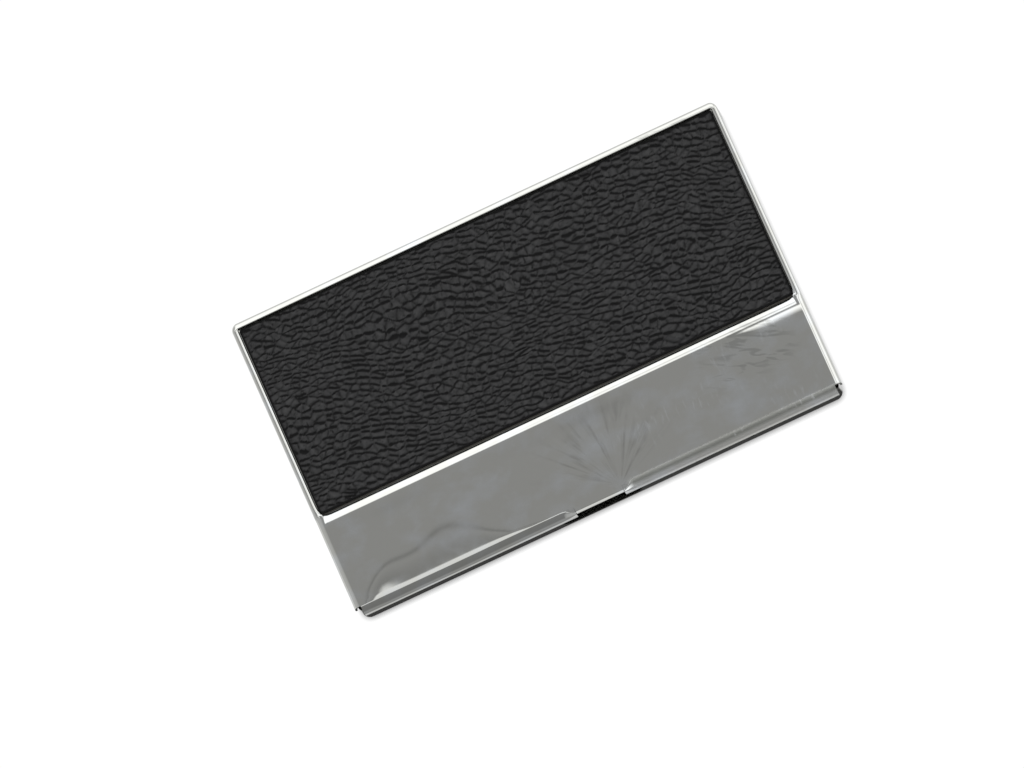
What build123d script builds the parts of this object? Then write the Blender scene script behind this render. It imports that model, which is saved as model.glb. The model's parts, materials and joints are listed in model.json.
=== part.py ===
from build123d import *
import os

# Business card case, closed, in millimetres.
# X runs along the long side, -Y is the side with the thumb notch, +Z is up.
# The origin is the middle of the underside, so the case rests on z = 0.

os.makedirs("parts", exist_ok=True)

# ---------------------------------------------------------------- driving dimensions
# Overall size, and the steel sheet that both shells are pressed from
LENGTH = 94.0
DEPTH = 58.0
HEIGHT = 7.0
SHEET = 0.4

# Hinge axis, parallel to X through both side walls
PIVOT_Y = 26.6
PIVOT_Z = 3.9
PIN_R = 0.6
PIN_CLEARANCE = 0.05
PIN_HEAD_R = 0.85
PIN_HEAD_T = 0.35
SINK_R = 0.95
WASHER_R = 1.3
WASHER_T = 0.12

# Lid: outer bends, flanges and the notch in the front flange
LID_BEND_R = 1.1
LID_CORNER_R = 1.3
LID_LIP_Z = 5.0
FRONT_FLANGE_HALF_X = 45.75
CORNER_RELIEF_Y = 1.2
NOTCH_W = 9.3
TONGUE_SETBACK = 0.15
EAR_R = 1.4
EAR_FOOT_LENGTH = 6.0

# Lid: recessed bed for the leather and the step up to the front plateau
RIM_REAR = 1.3
BED_DEPTH = 1.1
BED_FRONT_Y = -9.56
BED_CORNER_R = 0.4
RIM_EDGE_R = 0.3
STEP_R = 1.3

# Lid: rear flange, and the turned-in foot that rides on the spring
REAR_FLANGE_HALF_X = 45.6
REAR_FLANGE_Z = 2.6
FOOT_HALF_X = 29.0
FOOT_Z = 1.54
FOOT_DEPTH = 2.4

# Leather panel and the adhesive film under it
LEATHER_GAP = 0.05
LEATHER_T = 0.6
LEATHER_EDGE_R = 0.15
LEATHER_REAR_R = 0.45
LEATHER_FRONT_R = 0.8
ADHESIVE_T = 0.1

# Base tray, nested inside the lid's flanges
SIDE_GAP = 0.2
FRONT_GAP = 0.15
BASE_TOP_Z = 5.3
BASE_BEND_R = 0.8
BASE_FRONT_CORNER_R = 1.5
BASE_REAR_CORNER_R = 0.9
BASE_REAR_LIP_Z = 0.85
SIDE_WALL_REAR_Y = 27.5
SIDE_WALL_REAR_R = 1.2
THUMB_W = 16.0
THUMB_FLOOR_Z = 1.2
THUMB_R = 2.5
THUMB_EDGE_R = 0.8

# Card stop: an L strip riveted to the floor behind the cards
STOP_Y = 23.5
STOP_TOP_Z = 5.0
STOP_HALF_X = 44.0
STOP_FOOT_DEPTH = 1.8
STOP_BEND_R = 0.4
STOP_RIVET_X = 30.0
RIVET_R = 0.4
RIVET_HEAD_R = 0.7
RIVET_HEAD_H = 0.3

# Leaf spring behind the stop, bowed up in the middle
SPRING_T = 0.25
SPRING_W = 3.2
SPRING_Y = 25.95
SPRING_HALF_X = 37.0
SPRING_BOW_HALF_X = 33.0
SPRING_TOP_Z = 1.45
SPRING_RIVET_X = 35.1
SPRING_RIVET_HEAD_R = 0.8
SPRING_RIVET_HEAD_H = 0.25

# ---------------------------------------------------------------- derived places
HALF_LENGTH = LENGTH / 2
HALF_DEPTH = DEPTH / 2
BED_FLOOR_Z = HEIGHT - BED_DEPTH
BED_HALF_X = HALF_LENGTH - LID_BEND_R
BED_REAR_Y = HALF_DEPTH - RIM_REAR
BED_MID_Y = (BED_FRONT_Y + BED_REAR_Y) / 2
BED_SPAN_Y = BED_REAR_Y - BED_FRONT_Y
STEP_AXIS_Y = BED_FRONT_Y - STEP_R
STEP_AXIS_Z = HEIGHT - STEP_R
BASE_HALF_X = HALF_LENGTH - SHEET - SIDE_GAP
BASE_FRONT_Y = -(HALF_DEPTH - SHEET - FRONT_GAP)
BASE_REAR_Y = HALF_DEPTH - SHEET - FRONT_GAP
STOP_RIVET_Y = STOP_Y - STOP_FOOT_DEPTH / 2
SIDES = {"left": -1, "right": 1}


def save(part, name):
    """Label a finished piece and write it as its own STEP file."""
    part.label = name
    export_step(part, f"parts/{name}.step")


def step_corner(radius):
    """Material between a square corner and an arc about the step's bend axis."""
    top = STEP_AXIS_Z + radius
    wall = STEP_AXIS_Y + radius
    with BuildLine() as corner:
        Line((STEP_AXIS_Y, top), (wall, top))
        Line((wall, top), (wall, STEP_AXIS_Z))
        CenterArc((STEP_AXIS_Y, STEP_AXIS_Z), radius, 0, 90)
    make_face(corner.edges())


# ---------------------------------------------------------------- lid shell
with BuildPart() as lid_shell:
    # Pan of constant sheet thickness, bent down on all four sides
    with BuildSketch(Plane.XY.offset(LID_LIP_Z)):
        RectangleRounded(LENGTH, DEPTH, LID_CORNER_R)
    extrude(amount=HEIGHT - LID_LIP_Z)
    fillet(lid_shell.faces().sort_by(Axis.Z)[-1].edges(), LID_BEND_R)
    offset(amount=-SHEET, openings=lid_shell.faces().sort_by(Axis.Z)[0])

    # Body of the sunken bed, up to the underside of the top sheet
    with BuildSketch(Plane.XY.offset(BED_FLOOR_Z - SHEET)):
        with Locations((0, BED_MID_Y)):
            RectangleRounded(
                2 * (BED_HALF_X + SHEET), BED_SPAN_Y + 2 * SHEET, BED_CORNER_R + SHEET
            )
    extrude(amount=BED_DEPTH)
    with BuildSketch(Plane.YZ):
        step_corner(STEP_R - SHEET)
    extrude(amount=BED_HALF_X, both=True)

    # Sunken bed with small rolled edges at the rims
    with BuildSketch(Plane.XY.offset(BED_FLOOR_Z)):
        with Locations((0, BED_MID_Y)):
            RectangleRounded(2 * BED_HALF_X, BED_SPAN_Y, BED_CORNER_R)
    extrude(amount=HEIGHT, mode=Mode.SUBTRACT)
    rim_edges = (
        lid_shell.edges()
        .filter_by_position(Axis.Z, HEIGHT - SHEET / 2, HEIGHT)
        .filter_by_position(Axis.X, -BED_HALF_X, BED_HALF_X)
        .filter_by_position(Axis.Y, BED_FRONT_Y, BED_REAR_Y)
    )
    fillet(rim_edges, RIM_EDGE_R)

    # Long soft bend down from the plateau to the bed
    with BuildSketch(Plane.YZ):
        step_corner(STEP_R)
    extrude(amount=BED_HALF_X, both=True, mode=Mode.SUBTRACT)

    # Open corners at the front, where the front and side flanges part
    with BuildSketch(Plane.XY):
        with Locations(
            (HALF_LENGTH, -HALF_DEPTH), (-HALF_LENGTH, -HALF_DEPTH)
        ):
            Rectangle(2 * (HALF_LENGTH - FRONT_FLANGE_HALF_X), 2 * CORNER_RELIEF_Y)
    extrude(amount=2 * HEIGHT, mode=Mode.SUBTRACT)

    # Notch in the front flange, where the top sheet stays flat and ends in a cut edge
    with BuildSketch(Plane.XY):
        with Locations((0, -HALF_DEPTH)):
            Rectangle(NOTCH_W, 2 * LID_BEND_R)
    extrude(amount=HEIGHT, mode=Mode.SUBTRACT)
    with BuildSketch(Plane.XY.offset(HEIGHT - SHEET)):
        with Locations((0, -HALF_DEPTH + TONGUE_SETBACK)):
            Rectangle(NOTCH_W, LID_BEND_R, align=(Align.CENTER, Align.MIN))
    extrude(amount=SHEET)

    # Rear flange, with the turned-in foot in the middle
    with BuildSketch(Plane.XZ.offset(-HALF_DEPTH)):
        with Locations((0, REAR_FLANGE_Z)):
            Rectangle(
                2 * REAR_FLANGE_HALF_X, LID_LIP_Z - REAR_FLANGE_Z, align=(Align.CENTER, Align.MIN)
            )
    extrude(amount=SHEET)
    with BuildSketch(Plane.YZ):
        with BuildLine():
            FilletPolyline(
                (HALF_DEPTH - FOOT_DEPTH, FOOT_Z + SHEET / 2),
                (HALF_DEPTH - SHEET / 2, FOOT_Z + SHEET / 2),
                (HALF_DEPTH - SHEET / 2, LID_LIP_Z),
                radius=SHEET,
            )
        trace(line_width=SHEET)
    extrude(amount=FOOT_HALF_X, both=True)

    # Side ears that carry the hinge, with countersunk holes
    for side in SIDES.values():
        with BuildSketch(Plane.YZ.offset(side * HALF_LENGTH)):
            with Locations((PIVOT_Y, PIVOT_Z)):
                Circle(EAR_R)
            with Locations((PIVOT_Y + EAR_R - EAR_FOOT_LENGTH / 2, LID_LIP_Z + SHEET / 2)):
                Rectangle(EAR_FOOT_LENGTH, SHEET)
            make_hull()
        extrude(amount=-side * SHEET)
        with Locations(Plane((side * HALF_LENGTH, PIVOT_Y, PIVOT_Z), z_dir=(side, 0, 0))):
            CounterSinkHole(PIN_R + PIN_CLEARANCE, SINK_R, depth=SHEET, counter_sink_angle=90)
save(lid_shell.part, "lid_shell")

# ---------------------------------------------------------------- leather and adhesive
for name, bottom, thickness in (
    ("leather_adhesive", BED_FLOOR_Z, ADHESIVE_T),
    ("leather_panel", BED_FLOOR_Z + ADHESIVE_T, LEATHER_T),
):
    with BuildPart() as layer:
        with BuildSketch(Plane.XY.offset(bottom)) as outline:
            with Locations((0, BED_MID_Y)):
                Rectangle(2 * (BED_HALF_X - LEATHER_GAP), BED_SPAN_Y - 2 * LEATHER_GAP)
            fillet(outline.vertices().group_by(Axis.Y)[0], LEATHER_FRONT_R)
            fillet(outline.vertices().group_by(Axis.Y)[-1], LEATHER_REAR_R)
        extrude(amount=thickness)
        if name == "leather_panel":
            fillet(layer.faces().sort_by(Axis.Z)[-1].edges(), LEATHER_EDGE_R)
    save(layer.part, name)

# ---------------------------------------------------------------- base tray
with BuildPart() as base_shell:
    with BuildSketch(Plane.XY) as outline:
        with Locations((0, (BASE_FRONT_Y + BASE_REAR_Y) / 2)):
            Rectangle(2 * BASE_HALF_X, BASE_REAR_Y - BASE_FRONT_Y)
        fillet(outline.vertices().group_by(Axis.Y)[0], BASE_FRONT_CORNER_R)
        fillet(outline.vertices().group_by(Axis.Y)[-1], BASE_REAR_CORNER_R)
    extrude(amount=BASE_TOP_Z)
    fillet(base_shell.faces().sort_by(Axis.Z)[0].edges(), BASE_BEND_R)
    offset(amount=-SHEET, openings=base_shell.faces().sort_by(Axis.Z)[-1])

    # Rear cut down to a low lip; the side walls end in a round behind the hinge
    with BuildSketch(Plane.YZ) as rear_cut:
        with Locations((SIDE_WALL_REAR_Y, BASE_REAR_LIP_Z)):
            Rectangle(HALF_DEPTH, 2 * HEIGHT, align=(Align.MIN, Align.MIN))
        with BuildLine():
            Line((SIDE_WALL_REAR_Y, BASE_TOP_Z), (SIDE_WALL_REAR_Y - SIDE_WALL_REAR_R, BASE_TOP_Z))
            CenterArc(
                (SIDE_WALL_REAR_Y - SIDE_WALL_REAR_R, BASE_TOP_Z - SIDE_WALL_REAR_R),
                SIDE_WALL_REAR_R,
                0,
                90,
            )
            Line((SIDE_WALL_REAR_Y, BASE_TOP_Z - SIDE_WALL_REAR_R), (SIDE_WALL_REAR_Y, BASE_TOP_Z))
        make_face()
    extrude(amount=LENGTH, both=True, mode=Mode.SUBTRACT)

    # Thumb cut-out in the front wall
    with BuildSketch(Plane.XZ.offset(-BASE_FRONT_Y + SHEET)):
        with Locations((0, BASE_TOP_Z)):
            RectangleRounded(THUMB_W, 2 * (BASE_TOP_Z - THUMB_FLOOR_Z), THUMB_R)
    extrude(amount=-3 * SHEET, mode=Mode.SUBTRACT)
    thumb_edges = (
        base_shell.edges()
        .filter_by(Axis.Y)
        .filter_by_position(Axis.Z, BASE_TOP_Z - SHEET, BASE_TOP_Z + SHEET)
        .filter_by_position(Axis.X, -THUMB_W, THUMB_W)
    )
    fillet(thumb_edges, THUMB_EDGE_R)

    # Holes for the hinge pins and the rivets
    for side in SIDES.values():
        with Locations(Plane((side * BASE_HALF_X, PIVOT_Y, PIVOT_Z), z_dir=(side, 0, 0))):
            Hole(PIN_R, depth=SHEET)
    with Locations(Plane.XY.offset(SHEET)):
        with GridLocations(STOP_RIVET_X, 0, 3, 1):
            with Locations((0, STOP_RIVET_Y)):
                Hole(RIVET_R, depth=SHEET)
        with GridLocations(2 * SPRING_RIVET_X, 0, 2, 1):
            with Locations((0, SPRING_Y)):
                Hole(RIVET_R, depth=SHEET)
save(base_shell.part, "base_shell")

# ---------------------------------------------------------------- card stop
with BuildPart() as card_stop:
    with BuildSketch(Plane.YZ):
        with BuildLine():
            FilletPolyline(
                (STOP_Y - STOP_FOOT_DEPTH, 1.5 * SHEET),
                (STOP_Y + SHEET / 2, 1.5 * SHEET),
                (STOP_Y + SHEET / 2, STOP_TOP_Z),
                radius=STOP_BEND_R,
            )
        trace(line_width=SHEET)
    extrude(amount=STOP_HALF_X, both=True)
    with Locations(Plane.XY.offset(2 * SHEET)):
        with GridLocations(STOP_RIVET_X, 0, 3, 1):
            with Locations((0, STOP_RIVET_Y)):
                Hole(RIVET_R, depth=SHEET)
save(card_stop.part, "card_stop")


# ---------------------------------------------------------------- rivets
def rivet_outline(stack_z, head_r, head_h):
    """Half outline of a rivet, flush below, with a low domed head on the stack."""
    with BuildLine() as outline:
        Polyline((0, 0), (RIVET_R, 0), (RIVET_R, stack_z), (head_r, stack_z))
        TangentArc((0, stack_z + head_h), (head_r, stack_z), tangent=(1, 0))
        Line((0, stack_z + head_h), (0, 0))
    return outline.edges()


def upright_plane(x, y):
    """Vertical plane through a rivet's axis, with the sketch's Y along +Z."""
    return Plane(origin=(x, y, 0), x_dir=(1, 0, 0), z_dir=(0, -1, 0))


with BuildPart() as card_stop_rivets:
    for rivet_x in (-STOP_RIVET_X, 0, STOP_RIVET_X):
        with BuildSketch(upright_plane(rivet_x, STOP_RIVET_Y)):
            make_face(rivet_outline(2 * SHEET, RIVET_HEAD_R, RIVET_HEAD_H))
        revolve(axis=Axis((rivet_x, STOP_RIVET_Y, 0), (0, 0, 1)))
save(card_stop_rivets.part, "card_stop_rivets")

for name, side in SIDES.items():
    rivet_x = side * SPRING_RIVET_X
    with BuildPart() as spring_rivet:
        with BuildSketch(upright_plane(rivet_x, SPRING_Y)):
            make_face(rivet_outline(SHEET + SPRING_T, SPRING_RIVET_HEAD_R, SPRING_RIVET_HEAD_H))
        revolve(axis=Axis((rivet_x, SPRING_Y, 0), (0, 0, 1)))
    save(spring_rivet.part, f"spring_rivet_{name}")

# ---------------------------------------------------------------- leaf spring
with BuildPart() as snap_spring:
    end_z = SHEET + SPRING_T / 2
    with BuildSketch(Plane.XZ.offset(-SPRING_Y)):
        with BuildLine():
            Line((-SPRING_HALF_X, end_z), (-SPRING_BOW_HALF_X, end_z))
            ThreePointArc(
                (-SPRING_BOW_HALF_X, end_z),
                (0, SPRING_TOP_Z - SPRING_T / 2),
                (SPRING_BOW_HALF_X, end_z),
            )
            Line((SPRING_BOW_HALF_X, end_z), (SPRING_HALF_X, end_z))
        trace(line_width=SPRING_T)
    extrude(amount=SPRING_W / 2, both=True)
    with Locations(Plane.XY.offset(SHEET + SPRING_T)):
        for side in SIDES.values():
            with Locations((side * SPRING_RIVET_X, SPRING_Y)):
                Hole(RIVET_R, depth=SPRING_T)
save(snap_spring.part, "snap_spring")

# ---------------------------------------------------------------- hinge pins and washers
for name, side in SIDES.items():
    inner_x = BASE_HALF_X - SHEET
    pin_axis = Axis((0, PIVOT_Y, PIVOT_Z), (1, 0, 0))
    with BuildPart() as hinge_pin:
        with BuildSketch(Plane(origin=(0, PIVOT_Y, PIVOT_Z), x_dir=(side, 0, 0), z_dir=(0, -side, 0))):
            with BuildLine():
                Polyline(
                    (inner_x - PIN_HEAD_T, 0),
                    (inner_x - PIN_HEAD_T, PIN_HEAD_R),
                    (inner_x, PIN_HEAD_R),
                    (inner_x, PIN_R),
                    (HALF_LENGTH - (SINK_R - PIN_R - PIN_CLEARANCE), PIN_R),
                    (HALF_LENGTH, SINK_R - PIN_CLEARANCE),
                    (HALF_LENGTH, 0),
                    close=True,
                )
            make_face()
        revolve(axis=pin_axis)
    save(hinge_pin.part, f"hinge_pin_{name}")

    with BuildPart() as hinge_washer:
        with BuildSketch(Plane((side * BASE_HALF_X, PIVOT_Y, PIVOT_Z), z_dir=(side, 0, 0))):
            Circle(WASHER_R)
            Circle(PIN_R + PIN_CLEARANCE, mode=Mode.SUBTRACT)
        extrude(amount=WASHER_T)
    save(hinge_washer.part, f"hinge_washer_{name}")
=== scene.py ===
import json
import math

import bmesh
import bpy
import numpy as np
from mathutils import Matrix, Vector, noise


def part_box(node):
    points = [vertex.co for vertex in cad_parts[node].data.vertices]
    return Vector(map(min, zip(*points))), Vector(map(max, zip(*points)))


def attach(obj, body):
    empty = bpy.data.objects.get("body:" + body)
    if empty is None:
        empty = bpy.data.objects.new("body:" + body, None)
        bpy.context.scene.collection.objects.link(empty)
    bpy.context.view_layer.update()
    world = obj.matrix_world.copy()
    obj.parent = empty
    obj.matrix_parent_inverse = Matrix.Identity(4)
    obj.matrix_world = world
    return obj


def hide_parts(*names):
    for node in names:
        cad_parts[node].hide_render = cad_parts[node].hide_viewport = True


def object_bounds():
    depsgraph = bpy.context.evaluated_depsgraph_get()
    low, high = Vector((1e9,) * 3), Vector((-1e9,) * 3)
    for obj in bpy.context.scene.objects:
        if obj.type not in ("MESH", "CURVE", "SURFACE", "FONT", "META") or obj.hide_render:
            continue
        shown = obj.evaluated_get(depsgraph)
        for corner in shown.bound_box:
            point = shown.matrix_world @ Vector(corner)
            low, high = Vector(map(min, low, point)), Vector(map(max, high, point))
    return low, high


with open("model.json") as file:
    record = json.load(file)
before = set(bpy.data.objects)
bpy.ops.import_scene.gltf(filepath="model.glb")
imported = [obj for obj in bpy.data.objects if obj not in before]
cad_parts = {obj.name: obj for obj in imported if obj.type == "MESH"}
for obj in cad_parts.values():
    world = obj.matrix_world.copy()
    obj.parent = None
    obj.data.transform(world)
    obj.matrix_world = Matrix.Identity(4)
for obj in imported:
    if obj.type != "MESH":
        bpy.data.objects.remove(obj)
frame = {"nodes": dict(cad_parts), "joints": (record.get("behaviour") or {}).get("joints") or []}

MM = 0.001
CAD_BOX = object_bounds()

# Camera: a long lens above the front right of the case, turned so the case lies askew in the frame
CAMERA_AZIMUTH = 12.6
CAMERA_ELEVATION = 73.7
CAMERA_ROLL = -37.16
CAMERA_DISTANCE = 3.0
SENSOR_WIDTH = 36.0
FRAME_WIDTH = 0.1795
FRAME_OFFSET = (-0.0047, -0.0039)
CAMERA_NEAR = 0.1


# ---------------------------------------------------------------- node helpers
class Graph:
    """Shorthand for building a node tree; a value is a number, a tuple or another node's socket."""

    def __init__(self, tree):
        self.tree = tree
        self.tree.nodes.clear()

    def add(self, kind, values=None, **settings):
        node = self.tree.nodes.new(kind)
        for key, value in settings.items():
            setattr(node, key, value)
        for key, value in (values or {}).items():
            if isinstance(value, bpy.types.NodeSocket):
                self.tree.links.new(value, node.inputs[key])
            else:
                node.inputs[key].default_value = value
        return node

    def math(self, operation, *values):
        node = self.add("ShaderNodeMath", operation=operation)
        for socket, value in zip(node.inputs, values):
            if isinstance(value, bpy.types.NodeSocket):
                self.tree.links.new(value, socket)
            else:
                socket.default_value = value
        return node.outputs[0]

    def ramp(self, fac, stops):
        """Grey or colour that follows (place, value) stops; places run from 0 to 1."""
        node = self.add("ShaderNodeValToRGB", {"Fac": fac})
        ramp = node.color_ramp
        while len(ramp.elements) < len(stops):
            ramp.elements.new(0.5)
        for element, (place, value) in zip(ramp.elements, stops):
            element.position = place
            element.color = (*value, 1.0) if isinstance(value, tuple) else (value,) * 3 + (1.0,)
        return node.outputs["Color"]

    def link(self, a, b):
        self.tree.links.new(a, b)


def material(name):
    made = bpy.data.materials.new(name)
    made.use_nodes = True
    return made, Graph(made.node_tree)


# ---------------------------------------------------------------- places read from the frame
LID_LOW, LID_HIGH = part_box("lid_shell")
LEATHER_LOW, LEATHER_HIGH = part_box("leather_panel")
ADHESIVE_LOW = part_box("leather_adhesive")[0]
PIVOT = Vector(frame["joints"][0]["pos_m"])
LEATHER_GAP = 0.05 * MM
TOP = LID_HIGH.z                        # height of the plateau's upper side
SIDE = LID_HIGH.x
REAR = LID_HIGH.y
FRONT = LID_LOW.y
BED = ADHESIVE_LOW.z                    # height of the recessed bed, under the glue and the leather
BED_SIDE = LEATHER_HIGH.x + LEATHER_GAP
BED_REAR = LEATHER_HIGH.y + LEATHER_GAP
BED_FRONT = LEATHER_LOW.y - LEATHER_GAP

# Pressed lid sheet
SHEET = 0.4 * MM
LIP = TOP - 2.0 * MM                    # height of the front and side flanges' lower edge
BEND = 1.45 * MM                        # radius of the front bend
SIDE_BEND = 1.1 * MM
SIDE_RIM_INNER = 0.55 * MM
REAR_RIM_INNER = 0.12 * MM
RIM_CREST = 0.02 * MM
STEP_LEAD = 0.85 * MM                   # the step starts with a shallow lead-in of this length
STEP_LEAD_TILT = math.radians(11)
STEP_END_TILT = math.radians(75)
CORNER = 0.3 * MM
FLANGE_END = SIDE - 1.25 * MM
NOTCH = 4.65 * MM                       # half the notch's width
NOTCH_BEND = 0.25 * MM
SLIT = 0.08 * MM
NOTCH_FADE = 2.0 * MM
TONGUE_SETBACK = 0.15 * MM
TONGUE_LEAN = 0.33 * MM                 # the notch's tongue leans down a little over this length
TONGUE_DROOP = 0.03 * MM
REAR_FLANGE = TOP - 4.4 * MM
FOOT_SIDE = 29.0 * MM
FOOT = LID_LOW.z
FOOT_BEND = 0.6 * MM
FOOT_DEPTH = 2.4 * MM
EAR = 1.4 * MM                          # radius of the hinge ears
EAR_SLOPE_START = PIVOT.y - 4.6 * MM
HOLE = 0.65 * MM
SINK = 0.95 * MM
ARC_STEPS = 8
STEP_STEPS = 21
WALL_STEPS = 3
FLANGE_STEPS = 5
HOLE_SIDES = 32
CREST = WALL_STEPS + ARC_STEPS          # last column on a rim's inner side
SKIRT = CREST + 1 + ARC_STEPS           # last column of the outer bend, where the flange starts
TIGHT = 0.02 * MM                       # smallest bend radius; it also keeps divisors above zero
SUPPORT = 0.05 * MM                     # a loop this close keeps a flat flat beside a bend
PITCH = 1.0 * MM                        # usual distance between the grid's lines
FINE_PITCH = 0.8 * PITCH
WELD_DIGITS = 8                         # grid points that agree to this many decimals of a metre are one

# Unevenness of the pressed sheet: soft bed corners, ripples, and a roll-off at the front left
BED_CORNER_SHIFT = 0.35 * MM
BED_CORNER_REACH = 0.8 * MM
RIPPLE = 0.012 * MM
RIPPLE_LENGTH = 13.0 * MM
RIPPLE_OFFSET = Vector((3.1, 0.7, 0.0))
RIPPLE_SQUASH = 0.8
RIPPLE_FADE = 4.0 * MM                  # the ripples fade in over this length from the step and the sides
RIPPLE_FRONT_FADE = 3.0 * MM
# Roll-off lobes: place along X, spread, depth in from the front bend
ROLL_OFF_LOBES = ((-27.0 * MM, 7.5 * MM, 8.3 * MM), (-38.5 * MM, 5.5 * MM, 5.2 * MM))
ROLL_OFF_TILT = math.radians(2.85)
ROLL_OFF_END_TILT = math.radians(2.2)   # extra tilt towards the left end
ROLL_OFF_END = 36.0 * MM                # where that starts, left of the middle
ROLL_OFF_END_FADE = 8.0 * MM
ROLL_OFF_CORNER = 45.5 * MM             # where the roll-off is gone, left of the middle
ROLL_OFF_CORNER_FADE = 5.0 * MM
LIP_TILT = math.radians(2.6)            # a last slight lean towards the bend, along the left half
LIP_LEAN = 0.8 * MM
LIP_START = 9.0 * MM                    # left of the middle
LIP_FADE = 7.0 * MM
END_TILT = math.radians(5.0)            # the plateau also leans towards the step at its right end
END_LOBE = 2.6 * MM
END_START = 31.0 * MM                   # right of the middle
END_FADE = 9.0 * MM
SHARP_ANGLE = math.radians(35)          # edges sharper than this stay crisp


# ---------------------------------------------------------------- materials
FAN = (4.6 * MM, -27.6 * MM)            # the wiping streaks spread from here
FAN_REACH = 17.5 * MM
FAN_SCALE = (7.5, 1.5, 1.0)             # noise cells per radian of turn, and per FAN_REACH outwards
CURL_TURN = math.radians(22)
POLISH = (0.76, 0.765, 0.73)
POLISH_CLOUDED = (0.84, 0.87, 0.89)
# tone of the painted shade on the right half of the front bend
BEND_PAINTED_SHADE_TONE = (0.4, 0.41, 0.38)
STREAK_TONE = (0.42, 0.42, 0.4)
CURL_TONE = (0.46, 0.47, 0.45)
BRIGHT_TONE = (0.95, 0.97, 0.98)
POLISH_ROUGHNESS = 0.045
PLATEAU_MASK = ((0.965, 0.0), (0.985, 1.0))    # by height as a share of TOP: 0 in the bed, 1 on the plateau
CURL_DEPTH = 20.0 * MM                  # length that the curls' rearward fade is measured in
POLISH_RELIEF = 0.03 * MM
WORN_TONE = 0.8
WEAR_LINES = 9000.0                     # per metre, across the brushing
BRUSH_DEPTH = 0.0015 * MM
TRAY_TONE = (0.7, 0.705, 0.68)
SATIN_TONE = (0.56, 0.56, 0.55)
TURNED_TONE = (0.66, 0.66, 0.64)
PORES = 5200.0                          # per metre
LEATHER_GLOSS = 0.3
LEATHER_TONE = (0.044, 0.044, 0.045)
LEATHER_DULL_TONE = (0.024, 0.024, 0.025)
# tone of the painted shade in the creases, the wrinkles, on the cells' sides and at the pad's edge
PAINTED_CREASE_SHADE_TONE = (0.002, 0.002, 0.0022)
GLUE_TONE = (0.03, 0.028, 0.025)
GLUE_PALE_TONE = (0.09, 0.085, 0.07)
# Noise scales per metre, along X, Y and Z
HAZE = (120.0, 120.0, 120.0)
BREAKS = (260.0, 260.0, 1.0)
CURLS = (230.0, 900.0, 1.0)
STROKES = (1500.0, 380.0, 1.0)
STROKE_PATCHES = (95.0, 130.0, 1.0)
CLOUDS = (150.0, 190.0, 150.0)
HAIRLINES = (700.0, 9000.0, 9000.0)
LEATHER_CLOUDS = (900.0, 900.0, 900.0)
LEATHER_GRIT = (9000.0, 9000.0, 9000.0)
GLUE_CLOUDS = (400.0, 400.0, 400.0)


def mixed(g, fac, a, b):
    """Blend of two colours, each a socket or a tuple."""
    node = g.add("ShaderNodeMix", data_type="RGBA")
    pairs = ((node.inputs[0], fac), (node.inputs[6], a), (node.inputs[7], b))
    for socket, value in pairs:
        if isinstance(value, bpy.types.NodeSocket):
            g.link(value, socket)
        else:
            socket.default_value = (*value, 1.0) if isinstance(value, tuple) else value
    return node.outputs[2]


def stretched_noise(g, where, scale, detail, distortion=0.0):
    """Noise with its own scale along each axis."""
    mapped = g.add("ShaderNodeMapping", {"Vector": where, "Scale": scale}).outputs[0]
    settings = {"Vector": mapped, "Scale": 1.0, "Detail": detail, "Distortion": distortion}
    return g.add("ShaderNodeTexNoise", settings).outputs["Fac"]


def metal(g, colour, rough, height, distance):
    """Metal shader whose colour, roughness and bump height come from nodes."""
    bump = g.add("ShaderNodeBump", {"Height": height, "Strength": 1.0, "Distance": distance})
    values = {"Base Color": colour, "Metallic": 1.0, "Roughness": rough, "Normal": bump.outputs["Normal"]}
    shader = g.add("ShaderNodeBsdfPrincipled", values)
    g.add("ShaderNodeOutputMaterial", {"Surface": shader.outputs["BSDF"]})


def steel(name, colour, roughness, brushing, along=(1.0, 1.0, 1.0)):
    """Steel with slow tone changes, hazy patches and fine wear lines, drawn out where along is small."""
    made, g = material(name)
    where = g.add("ShaderNodeTexCoord").outputs["Object"]
    haze = stretched_noise(g, where, HAZE, 5.0)
    lines = stretched_noise(g, where, tuple(WEAR_LINES * a for a in along), 2.0)
    worn = tuple(WORN_TONE * c for c in colour)
    tone = mixed(g, g.ramp(haze, ((0.35, 0.0), (0.7, 1.0))), colour, worn)
    tone = mixed(g, g.ramp(lines, ((0.45, 0.0), (0.8, brushing))), tone, worn)
    patchy = g.math("MULTIPLY", g.ramp(haze, ((0.3, 0.0), (0.75, 1.0))), 0.6 * roughness)
    scored = g.math("MULTIPLY", lines, brushing * roughness)
    rough = g.math("ADD", g.math("ADD", patchy, scored), roughness)
    metal(g, tone, rough, lines, BRUSH_DEPTH * brushing)
    return made


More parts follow.
